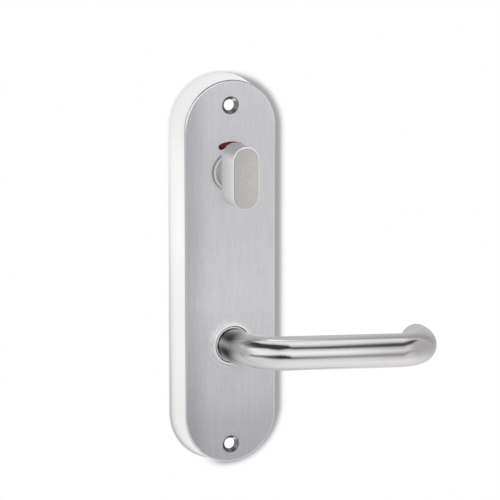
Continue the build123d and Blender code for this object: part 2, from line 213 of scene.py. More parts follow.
def two_noises(tree, first, share, second):
    """One level from two, with a share of the first."""
    return calc(tree, "ADD", times(tree, first, share), times(tree, second, 1 - share))


# Most of a noise's levels lie between these
NOISE_LOW = 0.35
NOISE_HIGH = 0.65


def noise_span(tree, level, low=0.0, high=1.0):
    """A noise's level mapped to a range."""
    return span(tree, level, NOISE_LOW, NOISE_HIGH, low, high)


def new_material(name):
    """Empty material and its node tree."""
    material = bpy.data.materials.new(name)
    material.use_nodes = True
    material.node_tree.nodes.clear()
    return material, material.node_tree


def grey(level):
    """Opaque grey."""
    return (level, level, level, 1)


def finish_surface(tree, colour, roughness, height, depth, metallic=1.0, tangent=None, **constants):
    """Principled surface with a colour, a roughness, and a height from 0 to 1 over a depth in metres."""
    bump = add(tree, "ShaderNodeBump", {"Height": height, "Distance": depth, "Strength": 1.0})
    inputs = {"Base Color": colour, "Roughness": roughness, "Normal": bump.outputs[0], "Metallic": metallic}
    inputs.update(constants)
    surface = add(tree, "ShaderNodeBsdfPrincipled", inputs)
    if tangent is not None:
        tree.links.new(tangent, surface.inputs["Tangent"])
    add(tree, "ShaderNodeOutputMaterial", {"Surface": surface.outputs[0]})


# Camera

face_centre = Vector((0, -PLATE_DEPTH * MM, PLATE_CENTRE_Z * MM))
back = Vector((
    sin(CAMERA_AZIMUTH) * cos(CAMERA_ELEVATION),
    -cos(CAMERA_AZIMUTH) * cos(CAMERA_ELEVATION),
    sin(CAMERA_ELEVATION),
))
right = Vector((cos(CAMERA_AZIMUTH), sin(CAMERA_AZIMUTH), 0))
up = back.cross(right)
camera_data = bpy.data.cameras.new("camera")
camera_data.lens = FOCAL_PIXELS / FRAME_PIXELS * SENSOR_MM
camera_data.sensor_width = SENSOR_MM
camera_data.clip_start = CLIP_START
camera = bpy.data.objects.new("camera", camera_data)
scene.collection.objects.link(camera)
camera.location = face_centre + back * CAMERA_DISTANCE
aim = -back + right * (AIM_RIGHT_PIXELS / FOCAL_PIXELS) + up * (AIM_UP_PIXELS / FOCAL_PIXELS)
camera.rotation_euler = aim.to_track_quat("-Z", "Y").to_euler()
scene.camera = camera

# Studio: white surroundings, wall, floor, and the panels that the metal mirrors

scene.view_settings.view_transform = "Standard"
WORLD_LIGHT = 0.5


def seen_directly(tree):
    """1 for rays from the camera, a mirror or a pane, 0 for the rest."""
    path = add(tree, "ShaderNodeLightPath").outputs
    both = calc(tree, "MAXIMUM", path["Is Camera Ray"], path["Is Glossy Ray"])
    return calc(tree, "MAXIMUM", both, path["Is Transmission Ray"])


def make_world():
    """White surroundings that light the part at a plain level."""
    world = bpy.data.worlds.new("surroundings")
    scene.world = world
    world.use_nodes = True
    tree = world.node_tree
    tree.nodes.clear()
    level = span(tree, seen_directly(tree), 0, 1, WORLD_LIGHT, 1)
    surface = add(tree, "ShaderNodeBackground", {"Strength": level, "Color": grey(1)})
    add(tree, "ShaderNodeOutputWorld", {"Surface": surface.outputs[0]})


# What the metal mirrors: soft light from all round, and two dark strips that cross it from side to side. The
# ball that carries them has its radius in metres. Places along a strip go from the left, 0, to the right, 1.
# Heights, depths and widths are in hundreds of degrees from straight ahead.
MIRROR_RADIUS = 1.4
MIRRORED_LIGHT = (
    (0.0, 0.78), (0.1, 0.86), (0.3, 0.78), (0.48, 0.92), (0.54, 1.0), (0.62, 0.9), (0.75, 0.98), (0.92, 0.92),
    (1.0, 0.86),
)
MIRRORED_LIGHT_REACH = 0.9
UPPER_STRIP = (
    (0.15, 0.80), (0.35, 0.68), (0.4, 0.59), (0.5, 0.53), (0.72, 0.51), (0.74, 0.38), (0.76, 0.48),
    (0.82, 0.60), (0.87, 0.72), (0.91, 1.10),
)
UPPER_HALF_WIDTH = (
    (0.12, 0.14), (0.2, 0.18), (0.34, 0.18), (0.4, 0.14), (0.55, 0.13), (0.62, 0.09), (0.72, 0.06),
    (0.74, 0.03), (0.76, 0.06), (0.88, 0.10),
)
UPPER_STRENGTH = ((0.04, 0.0), (0.1, 0.5), (0.16, 0.8), (0.25, 0.95), (0.7, 0.95), (0.9, 0.85), (0.97, 0.0))
UPPER_FADE = 0.27
LOWER_STRIP = (
    (0.1, 0.2), (0.2, 0.13), (0.5, 0.11), (0.6, 0.12), (0.68, 0.17), (0.7, 0.22), (0.72, 0.2), (0.76, 0.08),
    (0.85, 0.0),
)
LOWER_HALF_WIDTH = ((0.08, 0.06), (0.2, 0.04), (0.5, 0.08), (0.6, 0.06), (0.7, 0.035))
LOWER_STRENGTH = (
    (0.03, 0.0), (0.07, 0.65), (0.3, 0.85), (0.5, 0.95), (0.68, 0.95), (0.7, 0.6), (0.82, 0.4), (0.93, 0.0),
)
LOWER_FADE = 0.21
STRIP_FADE = ((0.0, 0.0), (0.1, 0.12), (0.25, 0.46), (0.5, 0.76), (0.8, 0.95), (1.0, 1.0))

# The lower left is darker: how much, and where it grows by side and by depth
LOWER_LEFT_SHADE = 0.25
LOWER_LEFT_SIDE = (0.25, -0.6)
LOWER_LEFT_DEPTH = (0.3, 0.8)

# The far sides of what is mirrored, which are plainer: their share by side, and their levels from left to
# right, above and below. The reach and the heights are parts of a direction of length 1.
FAR_SIDE_SHARE = ((0.02, 1.0), (0.1, 0.0), (0.8, 0.0), (0.91, 1.0))
FAR_SIDE_REACH = 0.5
FAR_SIDE_ABOVE = (0.46, 0.58)
FAR_SIDE_BELOW = (0.58, 0.74)
FAR_SIDE_HEIGHTS = (-0.5, -0.12)


def far_sides(tree, toward):
    """Share and level of the plainer far sides, towards a place."""
    parts = axes(tree, toward)
    share = ramp(tree, span(tree, parts["X"], -1.0, 1.0), FAR_SIDE_SHARE)
    above = span(tree, parts["X"], -FAR_SIDE_REACH, FAR_SIDE_REACH, *FAR_SIDE_ABOVE)
    below = span(tree, parts["X"], -FAR_SIDE_REACH, FAR_SIDE_REACH, *FAR_SIDE_BELOW)
    return share, span(tree, parts["Z"], *FAR_SIDE_HEIGHTS, below, above)


# Wall: its place and radius in metres, and how far its opening lies inside the plate's outline in millimetres
WALL_Y = 0.0004
WALL_RADIUS = 4.0
WALL_OPENING_INSET = 3.0
WALL_POINTS = 96
WALL_GREY = 0.8

# The plate's painted shadow on the wall: how far its outline is moved and how wide it is, in millimetres, its
# levels from the outline outwards, and where at the lower left it fades away
SHADOW_RIGHT = 6.1
SHADOW_DOWN = 3.35
SHADOW_SHORTER = 2.05
SHADOW_FADE = 7.0
SHADOW_LEVELS = ((0.0, 0.36), (0.3, 0.39), (0.45, 0.5), (0.6, 0.72), (0.8, 0.94), (1.0, 1.0))
SHADOW_LEFT = (-12.0, 6.0)
SHADOW_LOW = (-30.0, -45.0)

# The painted dark shadow line of contact beside the plate: where it starts and ends outside the outline, the
# heights between which its level changes, both in millimetres, and its level at them
CONTACT_WIDTH = (0.2, 1.3)
CONTACT_HEIGHTS = (110.0, -40.0)
CONTACT_LEVELS = (0.86, 0.5)

# The wall as metal mirrors it: levels by height, over a reach in millimetres, and by side where it is high up
MIRRORED_WALL = (
    (0.0, 0.78), (0.25, 0.67), (0.41, 0.6), (0.5, 0.58), (0.56, 0.5), (0.6, 0.52), (0.7, 0.62), (0.9, 0.9),
)
MIRRORED_WALL_REACH = 800.0
WALL_STRIPS = (
    (0.08, 1.0), (0.15, 0.4), (0.3, 0.25), (0.36, 0.3), (0.41, 1.0), (0.8, 1.0), (0.9, 0.7), (0.95, 0.7),
    (1.0, 0.9),
)
WALL_STRIPS_HEIGHTS = (40.0, 250.0)

# The wall right beside the plate, as metal mirrors it, in millimetres. It gives way to the rest between two
# distances from the outline. At the left its level changes over a width. At the right, below the top, it has
# one level.
NEAR_DISTANCES = (9.0, 30.0)
NEAR_LEFT_WIDTH = 4.0
NEAR_LEFT_SHARE = ((0.0, 0.0), (0.3, 0.7), (1.0, 1.0))
NEAR_RIGHT = (-15.0, 15.0)
NEAR_BELOW_TOP = (120.0, 90.0)
NEAR_RIGHT_LEVEL = 0.5

# Patches of the mirrored wall, each a place and a radius in millimetres, and a level or a share. A patch has
# its full strength in its core, which is a share of its radius.
BRIGHT_WALL = (60.0, 190.0)
BRIGHT_WALL_RADIUS = 130.0
DARK_WALL = (205.0, 100.0)
DARK_WALL_RADIUS = 125.0
DARK_WALL_SHARE = 0.35
PALE_WALL = (230.0, -260.0)
PALE_WALL_RADIUS = 300.0
PALE_WALL_LEVEL = 0.83
PATCH_CORE = 0.4


def obround(half_width, height, count):
    """Points round an upright obround, in millimetres from its centre."""
    points = []
    straight = height / 2 - half_width
    for i in range(count):
        angle = 2 * pi * i / count
        lift = straight if sin(angle) >= 0 else -straight
        points.append((half_width * cos(angle), half_width * sin(angle) + lift))
    return points


def outline_clearance(tree, place, right=0.0, down=0.0, shorter=0.0):
    """Distance in metres outside the plate's back outline, moved and shortened by some millimetres."""
    across = calc(tree, "SUBTRACT", place["X"], right * MM)
    along = calc(tree, "SUBTRACT", place["Z"], (PLATE_CENTRE_Z - down) * MM)
    straight = (PLATE_BACK_HEIGHT / 2 - PLATE_BACK_HALF_WIDTH - shorter) * MM
    beyond = calc(tree, "MAXIMUM", calc(tree, "SUBTRACT", calc(tree, "ABSOLUTE", along), straight), 0.0)
    return calc(tree, "SUBTRACT", diagonal(tree, across, beyond), PLATE_BACK_HALF_WIDTH * MM)


def wall_patch(tree, place, middle, radius):
    """1 round a place on the wall, in millimetres, that falls to 0 at a radius."""
    across = calc(tree, "SUBTRACT", place["X"], middle[0] * MM)
    along = calc(tree, "SUBTRACT", place["Z"], middle[1] * MM)
    return span_mm(tree, diagonal(tree, across, along), (PATCH_CORE * radius, radius), 1.0, 0.0)


def seen_wall(tree, place, edge, contact_level):
    """Level of the wall as it is seen: white, with a painted soft shadow and contact line round the plate."""
    clear = outline_clearance(tree, place, SHADOW_RIGHT, SHADOW_DOWN, SHADOW_SHORTER)
    shadow = ramp(tree, span_mm(tree, clear, (0.0, SHADOW_FADE)), SHADOW_LEVELS)
    contact = span_mm(tree, edge, CONTACT_WIDTH, contact_level, 1.0, smooth=True)
    to_left = span_mm(tree, place["X"], SHADOW_LEFT, 1.0, 0.0, smooth=True)
    low_left = times(tree, to_left, span_mm(tree, place["Z"], SHADOW_LOW))
    return times(tree, blend_colours(tree, low_left, shadow, grey(1)), contact)


def mirrored_wall(tree, place, edge, contact_level):
    """Level of the wall as metal mirrors it."""
    near_left = ramp(tree, span_mm(tree, edge, (0.0, NEAR_LEFT_WIDTH)), NEAR_LEFT_SHARE)
    near_left = blend_colours(tree, near_left, contact_level, grey(1))
    low_right = times(tree, span_mm(tree, place["X"], NEAR_RIGHT), span_mm(tree, place["Z"], NEAR_BELOW_TOP))
    near = blend_colours(tree, low_right, near_left, grey(NEAR_RIGHT_LEVEL))
    height = span_mm(tree, place["Z"], (-MIRRORED_WALL_REACH, MIRRORED_WALL_REACH))
    toward = direction_out(tree)
    strips = ramp(tree, span(tree, axes(tree, toward)["X"], -1.0, 1.0), WALL_STRIPS)
    strips = blend_colours(tree, span_mm(tree, place["Z"], WALL_STRIPS_HEIGHTS), grey(1), strips)
    level = times(tree, ramp(tree, height, MIRRORED_WALL), strips)
    level = calc(tree, "MAXIMUM", level, wall_patch(tree, place, BRIGHT_WALL, BRIGHT_WALL_RADIUS))
    pale = times(tree, wall_patch(tree, place, PALE_WALL, PALE_WALL_RADIUS), PALE_WALL_LEVEL)
    level = calc(tree, "MAXIMUM", level, pale)
    away = span_mm(tree, edge, NEAR_DISTANCES, smooth=True)
    sideways, far_side = far_sides(tree, toward)
    level = blend_colours(tree, times(tree, sideways, away), level, far_side)
    dark = times(tree, wall_patch(tree, place, DARK_WALL, DARK_WALL_RADIUS), DARK_WALL_SHARE)
    level = blend_colours(tree, dark, level, grey(0))
    return blend_colours(tree, away, near, level)


def wall_material():
    """White wall with a painted soft shadow of the plate on it, seen only from the front."""
    material, tree = new_material("wall")
    place = axes(tree, object_place(tree))
    edge = outline_clearance(tree, place)
    contact_level = span_mm(tree, place["Z"], CONTACT_HEIGHTS, *CONTACT_LEVELS)
    seen = seen_wall(tree, place, edge, contact_level)
    mirrored = mirrored_wall(tree, place, edge, contact_level)
    by_mirror = add(tree, "ShaderNodeLightPath").outputs["Is Glossy Ray"]
    glow = add(tree, "ShaderNodeEmission", {"Color": blend_colours(tree, by_mirror, seen, mirrored)})
    matt = add(tree, "ShaderNodeBsdfDiffuse", {"Color": grey(WALL_GREY)})
    front = add(tree, "ShaderNodeMixShader", {0: seen_directly(tree), 1: matt.outputs[0], 2: glow.outputs[0]})
    clear_side = add(tree, "ShaderNodeBsdfTransparent")
    from_behind = add(tree, "ShaderNodeNewGeometry").outputs["Backfacing"]
    both = add(tree, "ShaderNodeMixShader", {0: from_behind, 1: front.outputs[0], 2: clear_side.outputs[0]})
    add(tree, "ShaderNodeOutputMaterial", {"Surface": both.outputs[0]})
    material.cycles.emission_sampling = "NONE"
    return material


def link_object(name, data, material):
    """Object in the scene for a mesh with one material."""
    data.materials.append(material)
    made = bpy.data.objects.new(name, data)
    scene.collection.objects.link(made)
    return made


def flat_object(name, points, faces, material):
    """Object made of points in metres and faces."""
    data = bpy.data.meshes.new(name)
    data.from_pydata(points, [], faces)
    return link_object(name, data, material)


def bmesh_object(name, mesh, material):
    """Object made of an edited mesh, which is freed."""
    data = bpy.data.meshes.new(name)
    mesh.to_mesh(data)
    mesh.free()
    return link_object(name, data, material)


def make_wall():
    """Round wall at the door face with an opening hidden behind the plate."""
    half_width = PLATE_BACK_HALF_WIDTH - WALL_OPENING_INSET
    inner = obround(half_width, PLATE_BACK_HEIGHT - 2 * WALL_OPENING_INSET, WALL_POINTS)
    points = [(x * MM, WALL_Y, (z + PLATE_CENTRE_Z) * MM) for x, z in inner]
    for i in range(WALL_POINTS):
        angle = 2 * pi * i / WALL_POINTS
        points.append((WALL_RADIUS * cos(angle), WALL_Y, WALL_RADIUS * sin(angle)))
    faces = []
    for i in range(WALL_POINTS):
        j = (i + 1) % WALL_POINTS
        faces.append((i, i + WALL_POINTS, j + WALL_POINTS, j))
    wall = flat_object("wall", points, faces, wall_material())
    if wall.data.polygons[0].normal.y > 0:
        wall.data.flip_normals()


# Floor: its height and size in metres, the scale and colours of its speckle, and how much it glows when seen
FLOOR_Z = -1.5
FLOOR_SIZE = 12.0
FLOOR_GRAIN = 30.0
FLOOR_GREYS = (0.84, 0.88)
FLOOR_GLOW = 0.7


def floor_material():
    """Pale floor that a view meets as white and that still takes a shadow."""
    material, tree = new_material("floor")
    speckle = noise(tree, object_place(tree), FLOOR_GRAIN, detail=4.0)
    colour = blend_colours(tree, speckle, *[grey(level) for level in FLOOR_GREYS])
    matt = add(tree, "ShaderNodeBsdfDiffuse", {"Color": colour})
    glow = add(tree, "ShaderNodeEmission", {"Strength": times(tree, seen_directly(tree), FLOOR_GLOW)})
    both = add(tree, "ShaderNodeAddShader", {0: matt.outputs[0], 1: glow.outputs[0]})
    add(tree, "ShaderNodeOutputMaterial", {"Surface": both.outputs[0]})
    material.cycles.emission_sampling = "NONE"
    return material


def make_floor():
    """Square floor well below the part."""
    half = FLOOR_SIZE / 2
    points = [(-half, -half, FLOOR_Z), (half, -half, FLOOR_Z), (half, half, FLOOR_Z), (-half, half, FLOOR_Z)]
    floor = flat_object("floor", points, [(0, 1, 2, 3)], floor_material())


def strip_shade(tree, height, side, centres, half_widths, strengths, fade):
    """Share of the light left by a dark strip at a height and a side."""
    away = calc(tree, "ABSOLUTE", calc(tree, "SUBTRACT", height, ramp(tree, side, centres)))
    outside = calc(tree, "SUBTRACT", away, ramp(tree, side, half_widths))
    left = ramp(tree, span(tree, outside, 0.0, fade), STRIP_FADE)
    return blend_colours(tree, ramp(tree, side, strengths), grey(1), left)


def mirror_material():
    """Soft light, two dark strips and plainer far sides."""
    material, tree = new_material("mirror_panels")
    toward = direction_out(tree)
    parts = axes(tree, toward)
    ahead = times(tree, parts["Y"], -1.0)
    height = calc(tree, "DIVIDE", calc(tree, "ARCTAN2", parts["Z"], ahead), radians(100))
    depth = times(tree, height, -1.0)
    side = span(tree, parts["X"], -1.0, 1.0)
    light = ramp(tree, span(tree, height, -MIRRORED_LIGHT_REACH, MIRRORED_LIGHT_REACH), MIRRORED_LIGHT)
    sideways, far_side = far_sides(tree, toward)
    light = blend_colours(tree, sideways, light, far_side)
    lower_left = times(tree, span(tree, parts["X"], *LOWER_LEFT_SIDE), span(tree, depth, *LOWER_LEFT_DEPTH))
    dimmed = calc(tree, "SUBTRACT", 1.0, times(tree, lower_left, LOWER_LEFT_SHADE))
    upper = strip_shade(tree, height, side, UPPER_STRIP, UPPER_HALF_WIDTH, UPPER_STRENGTH, UPPER_FADE)
    lower = strip_shade(tree, depth, side, LOWER_STRIP, LOWER_HALF_WIDTH, LOWER_STRENGTH, LOWER_FADE)
    level = times(tree, times(tree, light, dimmed), times(tree, upper, lower))
    glow = add(tree, "ShaderNodeEmission", {"Color": level})
    add(tree, "ShaderNodeOutputMaterial", {"Surface": glow.outputs[0]})
    material.cycles.emission_sampling = "NONE"
    return material


def make_mirror_panels():
    """Ball of panels round the part, which shows in reflections alone and throws no shadow."""
    mesh = bmesh.new()
    bmesh.ops.create_icosphere(mesh, subdivisions=5, radius=MIRROR_RADIUS)
    made = bmesh_object("mirror_panels", mesh, mirror_material())
    made.visible_camera = False
    made.visible_diffuse = False
    made.visible_transmission = False
    made.visible_volume_scatter = False
    made.visible_shadow = False


# Each lamp's name, place and size in metres, and power in watts
LAMPS = (
    ("key", (-0.8, -1.1, 0.9), 0.6, 9.0),
    ("fill", (0.9, -1.2, 0.3), 0.8, 4.0),
    ("back_fill", (0.3, 1.3, 0.7), 0.8, 8.0),
)


def area_light(name, place, size, power):
    """Square soft light that faces the part and doesn't show in the metal."""
    data = bpy.data.lights.new(name, "AREA")
    data.size = size
    data.energy = power
    lamp = bpy.data.objects.new(name, data)
    scene.collection.objects.link(lamp)
    lamp.location = place
    lamp.rotation_euler = (face_centre - Vector(place)).to_track_quat("-Z", "Y").to_euler()
    lamp.visible_camera = False
    lamp.visible_glossy = False


make_world()
make_wall()
make_floor()
make_mirror_panels()
for name, place, size, power in LAMPS:
    area_light(name, place, size, power)


# Materials of the record's slots

# The plate's grain, by its scale across the door, out of it and up it, and its clouds
FINE_GRAIN = (1700, 400, 120)
WIDE_GRAIN = (500, 60, 25)
FINE_GRAIN_SHARE = 0.7
CLOUD_GRAIN = 28.0
CLOUD_SHARE = 0.4

# The plate's colours: grain, clouds, its edge, and a painted dark reflection where the edge faces up
BRUSHED_DARK = (0.85, 0.845, 0.865, 1)
BRUSHED_LIGHT = (0.975, 0.97, 0.99, 1)
BRUSHED_CLOUD = (0.86, 0.865, 0.885, 1)
PLATE_EDGE = (0.85, 0.85, 0.86, 1)
PLATE_EDGE_UP = (0.25, 0.25, 0.26, 1)

# The plate's roughness on its face and past its edge, and how metallic its face is
FACE_ROUGHNESS = (0.38, 0.46)
EDGE_ROUGHNESS = 0.2
FACE_METALLIC = 0.48

# Heights between which the plate's painted shades run, in millimetres, the painted shades of its flank and
# face from the lower height, 0, to the upper one, 1, and the dark colour that the face's painted shade goes
# to
PLATE_SHADE_HEIGHTS = (-70.0, 150.0)
FLANK_SHADE = ((0.0, 0.80), (0.3, 0.89), (0.45, 0.91), (0.6, 0.97), (0.8, 0.93), (0.9, 0.84))
FACE_SHADE = ((0.0, 0.65), (0.1, 0.71), (0.18, 0.83), (0.28, 0.94), (0.42, 1.0), (0.6, 0.92), (0.9, 0.87))
FACE_DARK = (0.06, 0.03, 0.12, 1)

# The face's painted shade at its left edge: where it lies, in millimetres, and how much darker it is
FACE_LEFT = (-26.0, -10.0)
FACE_LEFT_SHADE = 0.26

# Painted shade of the countersinks by turn, from the left, 0, round below to the right, 0.5, and over the top
# back to the left, 1, with a tint, and a painted highlight in their middle at some turns
COUNTERSINK_SHADE = (
    (0.0, 0.2), (0.15, 0.22), (0.5, 0.3), (0.58, 0.3), (0.72, 0.5), (0.85, 0.35), (1.0, 0.2),
)
COUNTERSINK_TINT = (0.20, 0.15, 0.19, 1)
COUNTERSINK_TINT_SHARE = 0.35
COUNTERSINK_GLINT = ((0.58, 0.0), (0.61, 1.0), (0.66, 1.0), (0.69, 0.0))
COUNTERSINK_GLINT_RADIUS = 4.5


def brushed_face(tree, place, parts, height, grain):
    """Colour of the plate's face: upright grain, soft clouds, and painted shade by height and at the left
    edge.
    """
    cloud = noise(tree, place, CLOUD_GRAIN, detail=3.0)
    brushed = blend_colours(tree, noise_span(tree, grain), BRUSHED_DARK, BRUSHED_LIGHT)
    clouded = blend_colours(tree, noise_span(tree, cloud, 0.0, CLOUD_SHARE), brushed, BRUSHED_CLOUD)
    left_edge = span_mm(tree, parts["X"], FACE_LEFT, FACE_LEFT_SHADE, 0.0, smooth=True)
    shade = times(tree, ramp(tree, height, FACE_SHADE), calc(tree, "SUBTRACT", 1.0, left_edge))
    return blend_colours(tree, shade, FACE_DARK, clouded)


def countersinks(tree, parts):
    """Share of the surface that they take, their colour with painted shade by turn, and their painted
    highlight.
    """
    holes_z = [HOLE_MIDDLE_Z + side * HOLE_SPACING / 2 for side in (-1, 1)]
    between = (HOLE_MIDDLE_Z - 1, HOLE_MIDDLE_Z + 1)
    hole_z = span_mm(tree, parts["Z"], between, *[z * MM for z in holes_z])
    turn = calc(tree, "ARCTAN2", calc(tree, "SUBTRACT", parts["Z"], hole_z), parts["X"])
    turned = span(tree, turn, -pi, pi)
    shade = ramp(tree, turned, COUNTERSINK_SHADE)
    colour = blend_colours(tree, COUNTERSINK_TINT_SHARE, shade, COUNTERSINK_TINT)
    middle = calc(tree, "MAXIMUM", *[near_axis(tree, parts, z, COUNTERSINK_GLINT_RADIUS) for z in holes_z])
    glint = times(tree, ramp(tree, turned, COUNTERSINK_GLINT), middle)
    share = calc(tree, "MAXIMUM", *[near_axis(tree, parts, z, COUNTERSINK_RADIUS) for z in holes_z])
    return share, blend_colours(tree, glint, colour, grey(1)), glint


def satin_stainless():
    """Pressed cover: upright brushed face, polished edge, bright flanks, dark countersinks, all with painted
    light and shade.
    """
    material, tree = new_material("satin_stainless")
    place = object_place(tree)
    parts = axes(tree, place)
    fine = noise(tree, place, 1.0, FINE_GRAIN, detail=4.0, roughness=0.65)
    wide = noise(tree, place, 1.0, WIDE_GRAIN, detail=3.0)
    grain = two_noises(tree, fine, FINE_GRAIN_SHARE, wide)
    height = span_mm(tree, parts["Z"], PLATE_SHADE_HEIGHTS)
    normal, out = facing(tree)
    flank = span(tree, out, 0.9, 0.3, smooth=True)
    face = brushed_face(tree, place, parts, height, grain)
    # The flanks take a painted shade by height
    colour = blend_colours(tree, flank, face, ramp(tree, height, FLANK_SHADE))

    # The rounded edge: light, with a painted dark reflection where it faces up, a painted white highlight at
    # the lower right, and a painted highlight line at the upper left
    edge = times(tree, span(tree, out, 0.99, 0.94), span(tree, out, 0.15, 0.3))
    faces_up = span(tree, normal["Z"], 0.4, 0.65)
    edge_colour = blend_colours(tree, faces_up, PLATE_EDGE, PLATE_EDGE_UP)
    low_right = times(tree, span(tree, normal["X"], 0.15, 0.4), span(tree, normal["Z"], -0.1, -0.3))
    edge_colour = blend_colours(tree, low_right, edge_colour, grey(1))
    colour = blend_colours(tree, edge, colour, edge_colour)
    high_left = times(tree, span(tree, normal["X"], -0.02, -0.1), span(tree, normal["Z"], 0.0, 0.06))
    glint = times(tree, span(tree, out, 0.998, 0.99), span(tree, out, 0.82, 0.88))
    glint = times(tree, glint, high_left)
    colour = blend_colours(tree, glint, colour, grey(1))

    # Countersinks with painted shade by turn and a painted highlight
    sunk, sunk_colour, sunk_glint = countersinks(tree, parts)
    colour = blend_colours(tree, sunk, colour, sunk_colour)
    face_rough = span(tree, grain, 0.3, 0.7, *FACE_ROUGHNESS)
    rough = span(tree, out, 0.97, 0.9, face_rough, EDGE_ROUGHNESS)
    tangent = add(tree, "ShaderNodeCombineXYZ", {"X": 1.0}).outputs[0]
    # The painted highlights on the edge and in the countersinks are matt
    matt_glint = calc(tree, "MAXIMUM", glint, times(tree, sunk, sunk_glint))
    polish = span(tree, flank, 0.0, 1.0, FACE_METALLIC, 1.0)
    metallic = times(tree, polish, calc(tree, "SUBTRACT", 1.0, matt_glint))
    finish_surface(
        tree, colour, rough, grain, 0.01 * MM, metallic=metallic, tangent=tangent, Anisotropic=0.5
    )
    return material


# Lengths along the tube are in the layout's unit, a tenth of a metre. The root's painted shade fades between
# two distances past the collar's lip, in millimetres, and goes by turn from a painted glint in it.
LAYOUT_MM = 100
ROOT_FADE = (9.0, 17.0)
ROOT_DARK_FROM, ROOT_DARK_TO = [(LIP_TOP - TUBE_ROOT + past_lip) / LAYOUT_MM for past_lip in ROOT_FADE]
ROOT_GLINT_TURN = radians(346)
ROOT_SHADE_TURN = radians(60)
ROOT_SHADE = (
    (0.0, 0.50), (0.15, 0.30), (0.3, 0.07), (0.4, 0.04), (0.5, 0.05), (0.65, 0.1), (0.75, 0.19), (1.0, 0.33),
)

# Painted shade that dims the glint's side, which grows along the grip towards the return bend and goes by
# turn from the glint
GRIP_SHADE_FROM = 0.70
GRIP_SHADE_TO = 1.15
GRIP_SHADE_SHARE = 0.45
GRIP_SHADE_TURN_FROM = radians(15)
GRIP_SHADE_TURN_TO = radians(45)
GRIP_SHADE_COLOUR = (0.42, 0.40, 0.40, 1)

# The tube's polish: the scale of its grain, along it in the layout's unit and around it, its colours and its
# roughness
TUBE_GRAIN_ALONG = 350.0
TUBE_GRAIN_AROUND = 2.5
TUBE_DARK = (0.84, 0.825, 0.825, 1)
TUBE_LIGHT = (0.90, 0.885, 0.885, 1)
TUBE_ROUGHNESS = (0.08, 0.12)

# The end cap has no layout along the tube, so all of it counts as this far along or less
LAYOUT_START = 0.001


def tube_stainless():
    """Lever tube: fine rings of polish round the tube, which blur along it only, painted shade at its root
    and along the grip.
    """
    material, tree = new_material("tube_stainless")
    parts = axes(tree, add(tree, "ShaderNodeUVMap", uv_map="along_tube").outputs[0])
    turn = times(tree, parts["Y"], 2 * pi)
    round_place = add(tree, "ShaderNodeCombineXYZ", {
        "X": times(tree, parts["X"], TUBE_GRAIN_ALONG),
        "Y": times(tree, calc(tree, "COSINE", turn), TUBE_GRAIN_AROUND),
        "Z": times(tree, calc(tree, "SINE", turn), TUBE_GRAIN_AROUND),
    }).outputs[0]
    rings = noise(tree, round_place, 1.0, detail=3.0, roughness=0.6)
    cloud = noise(tree, object_place(tree), 60.0, detail=3.0)
    level = two_noises(tree, rings, 0.5, cloud)
    polished = blend_colours(tree, noise_span(tree, level), TUBE_DARK, TUBE_LIGHT)
    past_glint = calc(tree, "SUBTRACT", turn, ROOT_GLINT_TURN)
    from_glint = calc(tree, "ABSOLUTE", calc(tree, "WRAP", past_glint, pi, -pi))
    # Painted shade that dims the glint's side along the grip
    grip_shade_side = span(tree, from_glint, GRIP_SHADE_TURN_FROM, GRIP_SHADE_TURN_TO, 1.0, 0.0, smooth=True)
    grip_shade = times(tree, span(tree, parts["X"], GRIP_SHADE_FROM, GRIP_SHADE_TO, 0.0, GRIP_SHADE_SHARE, smooth=True), grip_shade_side)
    polished = blend_colours(tree, grip_shade, polished, GRIP_SHADE_COLOUR)
    # Painted shade with a painted glint at the root
    laid_out = calc(tree, "GREATER_THAN", parts["X"], LAYOUT_START)
    root = span(tree, parts["X"], ROOT_DARK_FROM, ROOT_DARK_TO, laid_out, 0.0, smooth=True)
    dark = ramp(tree, calc(tree, "DIVIDE", from_glint, ROOT_SHADE_TURN), ROOT_SHADE)
    colour = blend_colours(tree, root, polished, dark)
    rough = noise_span(tree, level, *TUBE_ROUGHNESS)
    tangent = add(tree, "ShaderNodeTangent", direction_type="UV_MAP", uv_map="along_tube").outputs[0]
    # The end cap takes its tangent from this small lean, which the tube doesn't feel
    leaned = {0: tangent, 1: (0.001, 0.0, 0.0)}
    tangent = add(tree, "ShaderNodeVectorMath", leaned, operation="ADD").outputs[0]
    finish_surface(tree, colour, rough, rings, 0.003 * MM, tangent=tangent, Anisotropic=0.5)
    return material


# The bright fittings' colours: the flange's grain, the lip's and sleeve's painted highlight, the base ring's
# face, and the painted shade on the base ring's wall
FLANGE_DARK = (0.90, 0.895, 0.91, 1)
FLANGE_LIGHT = (0.97, 0.965, 0.98, 1)
LIP_COLOUR = (0.99, 0.99, 0.99, 1)
RING_FACE = (0.66, 0.66, 0.67, 1)
RING_WALL = (0.07, 0.07, 0.08, 1)


